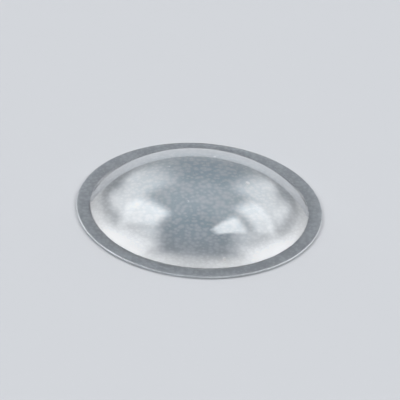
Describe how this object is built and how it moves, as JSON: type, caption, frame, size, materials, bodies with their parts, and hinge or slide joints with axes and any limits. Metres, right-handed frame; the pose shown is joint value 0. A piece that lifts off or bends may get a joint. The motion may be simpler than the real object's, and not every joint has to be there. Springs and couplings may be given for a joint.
{
  "type": "cabinet door bumper",
  "caption": "Clear self-adhesive cabinet door bumper: a low round dome of soft urethane with a thin cut skirt, on a disc of clear adhesive.",
  "frame": {"origin": "centre of the adhesive's underside, the face that sticks to the cabinet or door", "axes": "+Z along the dome's axis, from the adhesive out through the middle of the crown; X and Y are alike"},
  "size_m": [0.0088, 0.0088, 0.0015],
  "materials": {
    "clear_urethane": "clear, glossy, moulded",
    "clear_adhesive": "clear, slightly hazy film of pressure-sensitive adhesive"
  },
  "bodies": {
    "root": {"bumper_body": "clear_urethane", "adhesive_disc": "clear_adhesive"}
  },
  "joints": []
}
